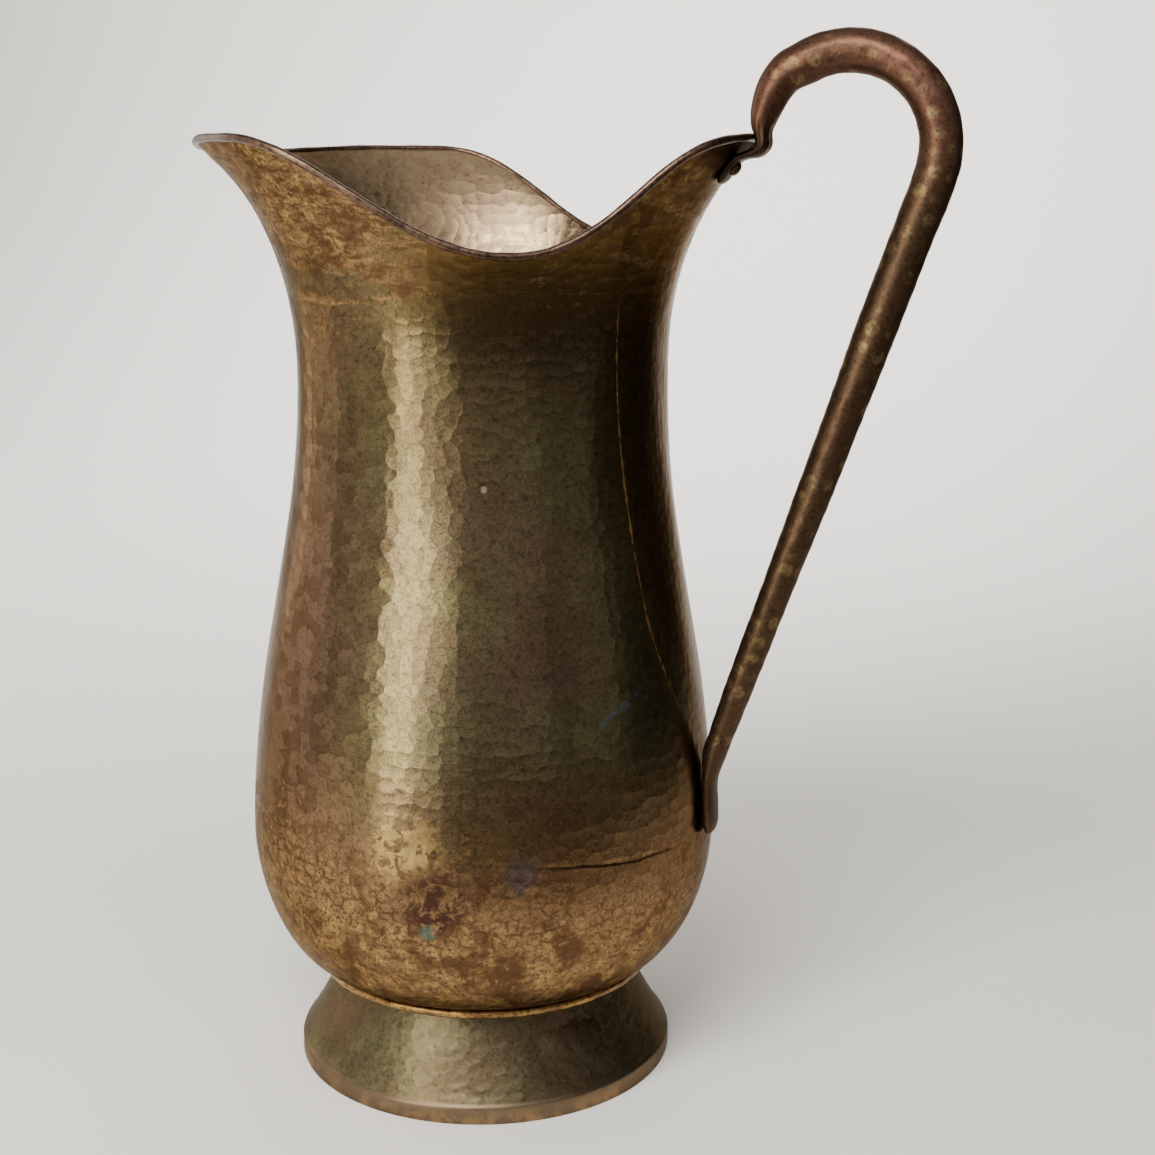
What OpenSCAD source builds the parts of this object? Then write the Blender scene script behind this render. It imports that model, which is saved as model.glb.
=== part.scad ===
// Hammered brass water jug: raised body with a saddle-cut mouth, wired rim,
// seamed bottom, soldered spreading foot and a riveted tube handle.
// +X points from the axis to the handle, -X to the pouring lip, +Z up.
// The origin is on the body's axis, on the surface that the foot stands on.

/* [Body] */
// Largest outside radius of the belly
belly_r = 121.5; // [100:0.5:150]
// Height of the belly's widest circle
belly_z = 127; // [110:1:160]
// Outside radius of the waist
neck_r = 94; // [75:0.5:100]
// Height of the waist
neck_z = 363; // [300:1:400]
// Outside radius of the flare at the highest point of the rim
mouth_r = 137; // [120:0.5:165]
// Height of the highest point of the rim, above the handle
mouth_z = 479.5; // [450:0.5:580]
// Radius where the body's wall turns into the bottom seam
base_r = 84; // [70:0.5:95]
// Thickness of the body's sheet
wall = 1.0; // [0.8:0.1:1.4]
// How quickly the flare opens: a larger number opens later and faster
flare_power = 2.45; // [1.8:0.1:3]
// How round the bowl is below the belly: 2 is an ellipse
bowl_power = 1.8; // [1.5:0.05:2.2]

/* [Mouth] */
// How far the pouring lip lies below the mouth's high end
lip_drop = 3.7; // [0:0.1:20]
// How far the two low points of the rim lie below the high end
dip_drop = 53; // [20:1:70]
// Distance of the low points from the axis, towards the handle
dip_x = 50; // [20:1:70]
// Distance from the axis where the level lip begins
lip_x = 72; // [55:1:85]
// Distance from the axis where the lip begins to droop
droop_x = 95; // [85:1:110]
// How far the lip's tip droops
droop = 4.5; // [0:0.5:10]

/* [Rim] */
// Radius of the wire soldered round the mouth's edge
wire_r = 1.9; // [1.4:0.1:3]

/* [Bottom] */
// Thickness of the bottom plate
plate_t = 1.5; // [1:0.1:2.5]
// Height of the bottom plate's underside
plate_z = 51.6; // [40:0.2:70]
// Width of the body's flange in the seam
flange_w = 3.2; // [2.5:0.1:5]

/* [Foot] */
// Outside radius of the foot where it stands
foot_r = 99.5; // [85:0.5:125]
// Outside radius of the foot under the bottom plate
foot_top_r = 76.5; // [60:0.5:80]
// Thickness of the foot's sheet
foot_t = 1.2; // [1:0.1:2]
// Height of the upright band round the foot
band_h = 9.5; // [5:0.5:16]
// Width of the foot's flange under the bottom plate
foot_flange_w = 12; // [6:0.5:16]

/* [Handle] */
// Radius of the tube round the crook
tube_r = 10.2; // [8:0.1:12.5]
// Radius of the tube at the lower end of the grip
tail_r = 7.0; // [5:0.1:8.5]
// Thickness of the handle's sheet
tube_t = 1.2; // [0.8:0.1:1.6]
// Radius of the crook, to the middle of the tube
crook_r = 43.2; // [38:0.2:52]
// Distance of the crook's centre from the body's axis, beyond the flare's radius
crook_out = 45; // [42:0.5:56]
// Height of the crook's centre below the high end of the mouth
crook_drop = 4.8; // [0:0.2:12]
// Height of the middle of the lower tongue
tail_z = 147; // [135:1:180]
// Width of the flattened ends
tongue_w = 17.4; // [14:0.2:20]
// Thickness of the flattened upper end
tongue_t = 3.6; // [2.8:0.1:4.6]
// Thickness of the flattened lower end
tail_t = 6.2; // [4:0.1:7.5]

/* [Rivets] */
// Radius of a rivet's shank
rivet_r = 2.2; // [1.6:0.1:2.8]
// Radius of a rivet's domed head
head_r = 3.7; // [3:0.1:4.6]
// Height of a rivet's domed head
head_h = 2.4; // [1.6:0.1:3]
// Radius of the washer under a rivet's inner end
burr_r = 5.6; // [4.6:0.1:7]
// Thickness of that washer
burr_t = 1.0; // [0.6:0.1:1.4]
// Distance between the two lower rivets
lower_pitch = 14; // [12:0.5:18]

/* [Hidden] */
eps = 0.01;
round_fn = 180;

// Heights in the seam: the plate's folded lip lies between the body's flange and its bowl
seam_gap = 0.1;
flange_z = plate_z + plate_t;
fold_z = flange_z + wall + seam_gap;
base_z = fold_z + plate_t + seam_gap;
flange_end = base_r + flange_w;

function unit(v) = v / norm(v);
function mix(a, b, t) = a + (b - a) * t;
function ease(t) = (1 - cos(180 * max(0, min(1, t)))) / 2;

// Outside radius of the body at height z
function bowl(u) = pow(max(0, 1 - pow(max(0, u), bowl_power)), 1 / bowl_power);
function body_r(z) =
    z < belly_z ? mix(base_r, belly_r, bowl((belly_z - z) / (belly_z - base_z)))
    : z < neck_z ? mix(belly_r, neck_r, ease((z - belly_z) / (neck_z - belly_z)))
    : mix(neck_r, mouth_r, pow((z - neck_z) / (mouth_z - neck_z), flare_power));
// Outward direction, in a plane through the axis, of the body's outside at height z
function body_out(z) = let (s = body_r(z + 0.5) - body_r(z - 0.5)) unit([1, -s]);

// Height of the mouth's edge at distance x from the axis
lip_z = mouth_z - lip_drop;
dip_z = mouth_z - dip_drop;
saddle_end = mouth_r + 4;
saddle_power = 1.15;
function mouth_h(x) =
    x < -droop_x ? lip_z - droop * pow((-droop_x - x) / (mouth_r - droop_x), 2)
    : x < dip_x ? mix(lip_z, dip_z, ease((x + lip_x) / (dip_x + lip_x)))
    : mix(dip_z, mouth_z, ease(pow(min(1, max(0, x - dip_x) / (saddle_end - dip_x)), saddle_power)));
// Height of the edge in the direction at angle a: where the flare meets the mouth's cut
function rim_z(a, z = mouth_z - 20, n = 30) =
    n == 0 ? z : rim_z(a, mix(z, mouth_h(body_r(z) * cos(a)), 0.5), n - 1);

// The body's outside, stepped evenly by angle in the bowl and by height above it
bowl_steps = 12;
side_steps = 14;
flare_steps = 14;
top_z = mouth_z + 6;
outside_z = [
    for (i = [0 : bowl_steps - 1]) mix(belly_z, base_z, cos(90 * i / bowl_steps)),
    for (i = [0 : side_steps - 1]) mix(belly_z, neck_z, i / side_steps),
    for (i = [0 : flare_steps]) mix(neck_z, top_z, i / flare_steps)
];
outside = [for (z = outside_z) [body_r(z), z]];
inside = [
    for (i = [0 : len(outside) - 1])
        i == 0 ? outside[0] + [0, wall] : outside[i] - wall * body_out(outside[i][1])
];

module body_section() {
    polygon(concat(outside, [for (i = [len(inside) - 1 : -1 : 0]) inside[i]]));
    // the wall turns back under itself into the flange that the bottom plate grips
    bend_r = (base_z + wall - flange_z) / 2;
    bend_z = flange_z + bend_r;
    bend_steps = 8;
    bend = [for (i = [0 : bend_steps]) [-cos(90 - 180 * i / bend_steps), sin(90 - 180 * i / bend_steps)]];
    polygon(concat(
        [[base_r + eps, base_z + wall]],
        [for (p = bend) [base_r, bend_z] + bend_r * p],
        [[flange_end, flange_z], [flange_end, flange_z + wall]],
        [for (i = [bend_steps : -1 : 0]) [base_r, bend_z] + (bend_r - wall) * bend[i]],
        [[base_r + eps, base_z]]
    ));
}

// The space under the mouth's cut
module mouth_cut() {
    cut_steps = 36;
    reach = mouth_r + 14;
    translate([0, reach, 0]) rotate([90, 0, 0]) linear_extrude(2 * reach)
        polygon(concat(
            [[-reach, 0], [reach, 0]],
            [for (i = [cut_steps : -1 : 0]) let (x = mix(-reach, reach, i / cut_steps)) [x, mouth_h(x)]]
        ));
}

module body_shell() {
    color("darkgoldenrod") difference() {
        intersection() {
            rotate_extrude($fn = round_fn) body_section();
            mouth_cut();
        }
        upper_place() bore();
        lower_places() bore();
    }
}

// The rim's wire lies against the outside of the flare, level with its edge
wire_steps = 96;
wire_sides = 10;
wire_clear = 0.08;
function wire_centre(i) = let (
    a = 360 * i / wire_steps, z = rim_z(a), n = body_out(z - wire_r / 2),
    d = wire_r + wire_clear, r = body_r(z - wire_r / 2) + n[0] * d
) [r * cos(a), r * sin(a), z - wire_r / 2 + n[1] * d];
module rim_wire() {
    rings = [
        for (i = [0 : wire_steps - 1]) let (
            a = 360 * i / wire_steps, t = unit(wire_centre(i + 1) - wire_centre(i - 1)),
            n0 = [cos(a), sin(a), 0], n = unit(n0 - t * (t * n0)), b = cross(n, t)
        ) [
            for (k = [0 : wire_sides - 1]) let (q = 360 * k / wire_sides)
                wire_centre(i) + wire_r * (n * cos(q) + b * sin(q))
        ]
    ];
    color("peru") polyhedron(
        points = [for (ring = rings) each ring],
        faces = [
            for (i = [0 : wire_steps - 1]) for (k = [0 : wire_sides - 1]) let (
                p = i * wire_sides, q = ((i + 1) % wire_steps) * wire_sides, k2 = (k + 1) % wire_sides
            ) each [[p + k, p + k2, q + k2], [p + k, q + k2, q + k]]
        ]
    );
}

// The bottom: a disc whose edge is folded up and over the body's flange
module bottom_plate() {
    lip_r = flange_end + seam_gap;
    fold_end = base_r + 1.5;
    color("goldenrod") rotate_extrude($fn = round_fn) polygon([
        [0, plate_z], [lip_r + plate_t, plate_z], [lip_r + plate_t, fold_z + plate_t],
        [fold_end, fold_z + plate_t], [fold_end, fold_z], [lip_r, fold_z],
        [lip_r, flange_z], [0, flange_z]
    ]);
}

// The foot: a spreading ring of sheet, turned in on top and hemmed at the band
module foot() {
    shoulder = 1;
    bend = 0.6;
    under = plate_z - foot_t;
    flange_in = foot_top_r - foot_flange_w;
    hem_in = foot_r - 2 * foot_t;
    color("olivedrab") rotate_extrude($fn = round_fn) polygon([
        [foot_r, 0], [foot_r, band_h - shoulder], [foot_r - shoulder, band_h], [foot_top_r, under],
        [foot_top_r, plate_z], [flange_in, plate_z], [flange_in, under],
        [foot_top_r - foot_t, under - bend], [hem_in, band_h], [hem_in, 0]
    ]);
}

// The solder that joins the foot's flange to the bottom plate, run round the flange's inner edge
module foot_solder() {
    solder_w = 2.2;
    edge_r = foot_top_r - foot_flange_w - 0.02;
    color("silver") rotate_extrude($fn = round_fn)
        polygon([[edge_r, plate_z - foot_t], [edge_r, plate_z], [edge_r - solder_w, plate_z]]);
}

// The handle's middle line and its section, from the lower tip to the upper one.
// A station is [x, z, half thickness, half width, squareness].
half_w = tongue_w / 2;
crook = [mouth_r + crook_out, mouth_z - crook_drop];
grip_start = tail_z + 38;
grip_gap = 11.2;
foot_of_grip = [body_r(grip_start) + grip_gap, grip_start];
to_crook = crook - foot_of_grip;
lean = atan2(to_crook[0], to_crook[1]) + asin(crook_r / norm(to_crook));
grip_end = crook + crook_r * [cos(lean), -sin(lean)];
crook_sweep = 138;
grip_power = 1.45;
// The handle's ends clear the body by this much
clear = 0.06;
function along_body(z, t) = let (n = body_out(z)) [body_r(z), z] + n * (t / 2 + clear);
function grip_r(s) = mix(tail_r, tube_r, pow(sin(90 * s), grip_power));
edge_z = rim_z(0);
edge_p = [body_r(edge_z), edge_z];
// How far the wire stands out from the edge here, and how far below the edge it reaches
wire_z = edge_z - wire_r / 2;
wire_here = [body_r(wire_z), wire_z] + (wire_r + wire_clear) * body_out(wire_z);
wire_out = wire_here[0] + wire_r - edge_p[0];
wire_down = edge_z - wire_here[1] + wire_r;
// Where the flattened upper end first lies on the body, the rivet below that, and the tube's
// half thickness where it is pinched to pass the wire
fold_top = edge_z - wire_down - 4.6;
upper_rivet_z = fold_top - 3.4;
pinch = 3.4;
// Half the metal's thickness where it turns in under the wire: thicker metal turns further out
fold = tongue_t * 0.83;
tip = tail_z - tongue_w * 0.8;
tail_bulge = tail_r * 0.9;
// Halfway between the body and the straight line that the grip's outside runs down
function landing(z) = let (
    outer = foot_of_grip[0] + tail_bulge / cos(lean) - (foot_of_grip[1] - z) * tan(lean),
    half = (outer - body_r(z) - clear) / 2
) [outer - half, z, half * cos(lean * 0.7), tail_r, 2.2];
stations = [
    concat(along_body(tip, 2.4), [1.2, half_w * 0.45, 2]),
    concat(along_body(tip + 1.2, 4.4), [2.2, half_w * 0.74, 2]),
    concat(along_body(tip + 5, tail_t), [tail_t / 2, half_w * 0.98, 2.4]),
    for (i = [0 : 3]) concat(along_body(mix(tip + 9, tail_z + 10, i / 3), tail_t), [tail_t / 2, half_w, 2.6]),
    for (dz = [15, 22, 29]) landing(tail_z + dz),
    for (i = [0 : 12]) let (s = i / 12) concat(
        mix(foot_of_grip, grip_end, s),
        i == 0 ? [tail_bulge, tail_r * 1.03, 2] : [grip_r(s), grip_r(s), 2]
    ),
    for (i = [1 : 15]) let (q = -lean + crook_sweep * i / 15) concat(
        crook + crook_r * [cos(q), sin(q)],
        [tube_r, tube_r, 2]
    ),
    // pinched flat behind the rim, then folded in under the flare
    concat(edge_p + [16.0, 28.9], [tube_r * 0.96, tube_r, 2]),
    concat(edge_p + [10.9, 22.3], [tube_r * 0.87, tube_r * 0.98, 2]),
    concat(edge_p + [7.7, 14.8], [tube_r * 0.76, tube_r * 0.94, 2]),
    concat(edge_p + [6.1, 9.3], [tube_r * 0.64, tube_r * 0.9, 2.1]),
    concat(edge_p + [wire_out + 3, 4.8], [5.2, half_w, 2.2]),
    concat(edge_p + [wire_out + 0.1 + pinch, 0.8], [pinch, half_w, 2.4]),
    concat(edge_p + [wire_out + 0.3 + pinch, 1.4 - wire_down], [pinch, half_w, 2.4]),
    concat(edge_p + [wire_out + fold - 1.088, 1.188 - fold - wire_down], [fold, half_w, 2.4]),
    for (i = [0 : 2])
        concat(along_body(fold_top - mix(0, 6.7, i / 2), tongue_t), [tongue_t / 2, half_w, 2.6]),
    concat(along_body(fold_top - 9.4, tongue_t), [tongue_t / 2, half_w * 0.8, 2.4]),
    concat(along_body(fold_top - 11, tongue_t), [tongue_t / 3, half_w * 0.46, 2])
];
sweep_sides = 16;
function st_pos(i) = [stations[i][0], stations[i][1]];
function st_dir(i) = let (n = len(stations) - 1) unit(st_pos(min(n, i + 1)) - st_pos(max(0, i - 1)));
function corner(c, p) = sign(c) * pow(abs(c), 2 / p);
module sweep(first, last, shrink) {
    rings = [
        for (i = [first : last]) let (
            s = stations[i], d = st_dir(i), side = [d[1], -d[0]], a = s[2] - shrink, b = s[3] - shrink
        ) [
            for (k = [0 : sweep_sides - 1]) let (
                q = 360 * k / sweep_sides, u = a * corner(cos(q), s[4]), v = b * corner(sin(q), s[4])
            ) [s[0] + side[0] * u, v, s[1] + side[1] * u]
        ]
    ];
    n = len(rings);
    polyhedron(
        points = [for (ring = rings) each ring],
        faces = concat(
            [[for (k = [0 : sweep_sides - 1]) k]],
            [[for (k = [sweep_sides - 1 : -1 : 0]) (n - 1) * sweep_sides + k]],
            [
                for (i = [0 : n - 2]) for (k = [0 : sweep_sides - 1]) let (
                    p = i * sweep_sides, q = p + sweep_sides, k2 = (k + 1) % sweep_sides
                ) each [[p + k, q + k, q + k2], [p + k, q + k2, p + k2]]
            ]
        )
    );
}
module handle() {
    hollow_from = 10;
    hollow_to = len(stations) - 12;
    color("sienna") difference() {
        sweep(0, len(stations) - 1, 0);
        sweep(hollow_from, hollow_to, tube_t);
        upper_place() bore();
        lower_places() bore();
    }
}

// Each rivet's own axis points outwards, with its origin on the body's outside
module on_body(z) {
    n = body_out(z);
    translate([body_r(z), 0, z]) rotate([0, 90 + atan2(-n[1], n[0]), 0]) children();
}
module upper_place() {
    on_body(upper_rivet_z) children();
}
module lower_places() {
    for (side = [-1, 1]) on_body(tail_z + side * lower_pitch / 2) children();
}
module bore() {
    translate([0, 0, -wall - 3]) cylinder(r = rivet_r + rivet_clear, h = wall + 14, $fn = 48);
}
rivet_clear = 0.03;
// A washer needs this much room to clear the curve of the wall
burr_gap = 0.2;
burr_z = -wall - burr_gap - burr_t;
peen_h = 1.3;
peen_r = rivet_r + 1.1;
// A rivet from its peened inner end to the outside at height top, with a domed head there or none
module rivet(top, domed) {
    dome_steps = 8;
    rotate_extrude($fn = 48) polygon(concat(
        [[0, burr_z - peen_h], [peen_r * 0.7, burr_z - peen_h * 0.8], [peen_r, burr_z], [rivet_r, burr_z]],
        domed
            ? concat([[rivet_r, top]], [
                for (i = [0 : dome_steps]) let (q = 90 * i / dome_steps)
                    [i == dome_steps ? 0 : head_r * cos(q), top + head_h * sin(q)]
            ])
            : [[rivet_r, top], [0, top]]
    ));
}
module burr() {
    translate([0, 0, burr_z]) difference() {
        cylinder(r = burr_r, h = burr_t, $fn = 64);
        translate([0, 0, -1]) cylinder(r = rivet_r + rivet_clear, h = burr_t + 2, $fn = 48);
    }
}

// A domed head stands this far off the tongue, and a flush end lies this far under its face
head_gap = 0.02;
module upper_rivet() {
    color("dimgray") upper_place() rivet(tongue_t + clear + head_gap, true);
}
module upper_burr() {
    color("peru") upper_place() burr();
}
module lower_rivets() {
    color("dimgray") lower_places() rivet(tail_t + clear - head_gap, false);
}
module lower_burrs() {
    color("peru") lower_places() burr();
}

body_shell();
rim_wire();
bottom_plate();
foot();
foot_solder();
handle();
upper_rivet();
upper_burr();
lower_rivets();
lower_burrs();
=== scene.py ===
# A tall hammered brass jug with a saddle-cut mouth, a wired rim, a riveted tube handle and a ring foot.
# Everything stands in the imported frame: metres, +X from the axis to the handle, +Z up.
import math

import bpy
import numpy as np
from mathutils import Euler, Matrix


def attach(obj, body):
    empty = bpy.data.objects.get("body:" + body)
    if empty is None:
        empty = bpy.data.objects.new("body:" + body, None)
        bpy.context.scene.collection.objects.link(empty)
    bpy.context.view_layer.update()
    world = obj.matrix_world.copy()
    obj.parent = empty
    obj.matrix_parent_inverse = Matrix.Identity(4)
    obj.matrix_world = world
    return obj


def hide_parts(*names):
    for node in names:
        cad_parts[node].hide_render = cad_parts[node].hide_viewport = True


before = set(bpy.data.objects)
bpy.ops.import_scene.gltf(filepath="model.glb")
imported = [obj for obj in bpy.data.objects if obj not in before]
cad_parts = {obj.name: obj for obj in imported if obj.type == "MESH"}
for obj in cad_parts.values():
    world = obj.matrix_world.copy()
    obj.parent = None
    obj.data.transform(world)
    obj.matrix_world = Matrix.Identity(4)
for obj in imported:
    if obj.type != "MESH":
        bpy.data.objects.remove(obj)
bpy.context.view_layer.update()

mm = 0.001


# ---------------------------------------------------------------- camera
# The jug is seen with the lip on the left and the handle on the right, turned about 22 degrees
# towards the camera, which stands about as high as the mouth and looks down by about 13 degrees.
camera_data = bpy.data.cameras.new("camera")
camera_data.lens = 56.65
camera_data.sensor_width = 36.0
camera = bpy.data.objects.new("camera", camera_data)
camera_place = Matrix.Translation((0.34905, -0.85469, 0.46382))
camera_turn = Euler([math.radians(degrees) for degrees in (77.3645, -0.2925, 19.2546)])
camera.matrix_world = camera_place @ camera_turn.to_matrix().to_4x4()
bpy.context.scene.collection.objects.link(camera)
bpy.context.scene.camera = camera


# ---------------------------------------------------------------- body
# One sheet of brass, raised from a disc with a round-faced hammer in rows about 6 mm apart, trimmed
# to a saddle at the mouth and turned out to a narrow flange at the bottom. Years of handling and
# oil have left a dark olive-brown patina, worn back to yellow brass on the bowl and the flare.
wall = 1.0 * mm
belly_r, belly_z = 121.5 * mm, 127 * mm
neck_r, neck_z = 94 * mm, 363 * mm
mouth_r, mouth_z = 137 * mm, 479.5 * mm
base_r, base_z = 84 * mm, 55.8 * mm


def ease(t):
    """Half a cosine wave: 0 at t = 0, 1 at t = 1, level at both ends."""
    return (1 - np.cos(np.pi * np.clip(t, 0, 1))) / 2


def body_radius(z):
    """Outside radius at height z: a superellipse of power 1.8 for the bowl, half a cosine wave from
    the belly in to the waist, and a power curve of 2.45 from the waist out to the flare."""
    z = np.asarray(z, float)
    down = np.clip((belly_z - z) / (belly_z - base_z), 0, 1)
    bowl = base_r + (belly_r - base_r) * (1 - down**1.8) ** (1 / 1.8)
    side = belly_r + (neck_r - belly_r) * ease((z - belly_z) / (neck_z - belly_z))
    up = np.clip((z - neck_z) / (mouth_z - neck_z), 0, 1.2)
    flare = neck_r + (mouth_r - neck_r) * up**2.45
    return np.where(z < belly_z, bowl, np.where(z < neck_z, side, flare))


def mouth_height(x):
    """Height of the mouth's cut over x: a level lip that droops to its tip, half a cosine wave down to
    the low point, and another up to the handle."""
    lip, dip = mouth_z - 3.7 * mm, mouth_z - 53 * mm
    droop = lip - 4.5 * mm * (np.clip(-95 * mm - x, 0, 1) / (mouth_r - 95 * mm)) ** 2
    fall = lip + (dip - lip) * ease((x + 72 * mm) / (122 * mm))
    rise = dip + (mouth_z - dip) * ease((np.clip(x - 50 * mm, 0, 1) / (91 * mm)) ** 1.15)
    return np.where(x < -95 * mm, droop, np.where(x < 50 * mm, fall, rise))


def bump_at(a, centre, width):
    """A smooth hill of height 1 round the angle centre, in degrees; width is where it has sunk to 0.37."""
    d = (a - centre + 180) % 360 - 180
    return np.exp(-((d / width) ** 2))


def edge_height(a):
    """Height of the sheet's edge in the direction a (degrees): where the flare meets the mouth's cut,
    found by halving steps, and then the hand-made lift of the lip's near corner."""
    z = np.full(np.shape(a), mouth_z - 20 * mm)
    for _ in range(30):
        z = (z + mouth_height(body_radius(z) * np.cos(np.radians(a)))) / 2
    return z + mm * (2.6 * bump_at(a, 228, 24) + 0.9 * bump_at(a, 0, 14))


def pulled_out(a, z):
    """How far the lip's two corners stand out beyond the round flare, and the slow waves that
    hammering leaves in the sheet."""
    top = np.clip((z - 432 * mm) / (44 * mm), 0, 1.2) ** 3
    corners = mm * top * (4.6 * bump_at(a, 206, 19) + 3.4 * bump_at(a, 154, 19) - 0.6 * bump_at(a, 0, 30))
    t, h = np.radians(a), z / mm
    waves = (
        0.26 * np.sin(3 * t + h / 61 + 0.4) + 0.20 * np.sin(5 * t - h / 37 + 2.1)
        + 0.13 * np.sin(9 * t + h / 23 + 1.0) + 0.10 * np.sin(14 * t - h / 29 + 4.0)
        + 0.07 * np.sin(4 * t + h / 11) + 0.05 * np.sin(21 * t + h / 17 + 0.7)
    )
    return corners + mm * (waves - 0.30) * np.clip((z - base_z) / (30 * mm), 0, 1)


marks = np.random.default_rng(7).random((5, 4096))


def hammer_dents(turn, along, radius, pitch, hollow, loose):
    """Depth below the smooth surface left by rows of overlapping round dents. turn is the angle round
    the piece (radians), along the distance along it and radius its radius. Rows lie pitch apart, with
    as many dents in each as fit at that pitch; a dent is a spherical hollow of radius hollow, and
    the deepest one at a point wins: the least of distance squared / (2 hollow) less the dent's depth."""
    row0 = np.floor(along / pitch)
    depth = np.full(np.broadcast(turn, along).shape, 1.0)
    reach = pitch * pitch / (2 * hollow)
    for dr in (-1, 0, 1):
        row = row0 + dr
        count = np.maximum(np.round(2 * np.pi * radius / pitch), 6)
        r_i = row.astype(int)
        start = marks[0][(r_i * 37) % 4096]
        at = (turn / (2 * np.pi) - start) * count
        for dc in (-1, 0, 1):
            col = np.round(at) + dc
            key = (np.mod(col, count).astype(int) * 131 + r_i * 71) % 4096
            off_a = (col - at + (marks[1][key] - 0.5) * loose) * (2 * np.pi * radius / count)
            off_s = (row + 0.5) * pitch - along + (marks[2][key] - 0.5) * loose * pitch
            dent = (off_a**2 + off_s**2) / (2 * hollow) - reach * (0.55 + 0.9 * marks[3][key] * loose)
            depth = np.minimum(depth, dent)
    return np.minimum(depth, 0.0)


def skin(name, rings, joined, marks_round=0, marks_along=None, **extra):
    """A closed mesh from rings of points, an array (rings, points, 3). Each ring joins the next with a
    band of quads. joined also joins the last to the first; otherwise each end is one flat face. With
    marks_round, the UV map counts hammer marks: so many round the piece, and marks_along up it, one
    number a ring or a point. extra holds one number a point, kept as attributes."""
    n, m, _ = rings.shape
    i = np.arange(n if joined else n - 1)[:, None]
    k = np.arange(m)[None, :]
    i2, k2 = (i + 1) % n, (k + 1) % m
    quads = np.stack([i * m + k, i * m + k2, i2 * m + k2, i2 * m + k], -1).reshape(-1, 4)
    corners = [quads.ravel()]
    starts = np.arange(len(quads)) * 4
    if not joined:
        corners += [np.arange(m)[::-1], (n - 1) * m + np.arange(m)]
        starts = np.concatenate([starts, [len(quads) * 4, len(quads) * 4 + m]])
    corners = np.concatenate(corners).astype(np.int32)
    mesh = bpy.data.meshes.new(name)
    mesh.vertices.add(n * m)
    mesh.vertices.foreach_set("co", rings.reshape(-1).astype(np.float32))
    mesh.loops.add(len(corners))
    mesh.loops.foreach_set("vertex_index", corners)
    mesh.polygons.add(len(starts))
    mesh.polygons.foreach_set("loop_start", starts.astype(np.int32))
    mesh.update(calc_edges=True)
    mesh.polygons.foreach_set("use_smooth", np.ones(len(starts), bool))
    if marks_round:
        level = np.broadcast_to(marks_along, (n, m))
        across = np.stack([k + 0 * i, k + 1 + 0 * i, k + 1 + 0 * i, k + 0 * i], -1) / m * marks_round
        up = np.stack([level[i, k], level[i, k2], level[i2, k2], level[i2, k]], -1)
        uv = np.zeros((len(corners), 2), np.float32)
        uv[:across.size] = np.stack([across.ravel(), up.ravel()], -1)
        mesh.uv_layers.new(name="marks").data.foreach_set("uv", uv.ravel())
    for key, values in extra.items():
        layer = mesh.attributes.new(key, "FLOAT", "POINT")
        layer.data.foreach_set("value", np.ascontiguousarray(values, dtype=np.float32).ravel())
    mesh.validate()
    piece = bpy.data.objects.new(name, mesh)
    bpy.context.scene.collection.objects.link(piece)
    return piece


def linear(code):
    """An sRGB hex colour as the linear RGBA of a shader: ((s + 0.055) / 1.055) ** 2.4 above the toe."""
    s = np.array([int(code[i:i + 2], 16) / 255 for i in (1, 3, 5)])
    rgb = np.where(s <= 0.04045, s / 12.92, ((s + 0.055) / 1.055) ** 2.4)
    return (*[float(v) for v in rgb], 1.0)


def add(tree, kind, settings=None, **inputs):
    """Adds a node. settings are its own properties; inputs set or link its sockets by name or number,
    where _2 stands for socket number 2 and a link is given as another node's output."""
    node = tree.nodes.new(kind)
    for key, value in (settings or {}).items():
        setattr(node, key, value)
    for key, value in inputs.items():
        socket = node.inputs[int(key[1:])] if key[0] == "_" else node.inputs[key.replace("_", " ")]
        if isinstance(value, bpy.types.NodeSocket):
            tree.links.new(value, socket)
        else:
            socket.default_value = value
    return node


def new_material(name):
    """An empty node material: returns it with its tree, its shader and its Object coordinates."""
    material = bpy.data.materials.new(name)
    material.use_nodes = True
    tree = material.node_tree
    shader = tree.nodes["Principled BSDF"]
    place = tree.nodes.new("ShaderNodeTexCoord").outputs["Object"]
    return material, tree, shader, place


def stretched(tree, place, x, y, z):
    """The coordinates scaled differently along each axis, for streaks."""
    return add(tree, "ShaderNodeMapping", Vector=place, Scale=(x, y, z)).outputs[0]


def noise(tree, place, grain, detail=4.0, rough=0.55, lift=0.0):
    """Cloudy noise from 0 to 1 whose largest lumps are about grain metres across."""
    return add(tree, "ShaderNodeTexNoise", Vector=place, Scale=1 / grain, Detail=detail, Roughness=rough,
               Distortion=lift).outputs["Fac"]


def steps(tree, fac, *stops):
    """A ramp from pairs (position, colour): a hex colour, or a number for grey."""
    node = add(tree, "ShaderNodeValToRGB", _0=fac)
    ramp = node.color_ramp
    while len(ramp.elements) < len(stops):
        ramp.elements.new(0.5)
    for element, (at, value) in zip(ramp.elements, stops):
        element.position = at
        element.color = linear(value) if isinstance(value, str) else (value, value, value, 1.0)
    return node.outputs["Color"]


def maths(tree, what, a, b=0.0):
    """One Math node."""
    return add(tree, "ShaderNodeMath", {"operation": what}, _0=a, _1=b).outputs[0]


def vectors(tree, what, **inputs):
    """One Vector Math node."""
    return add(tree, "ShaderNodeVectorMath", {"operation": what}, **inputs)


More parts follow.
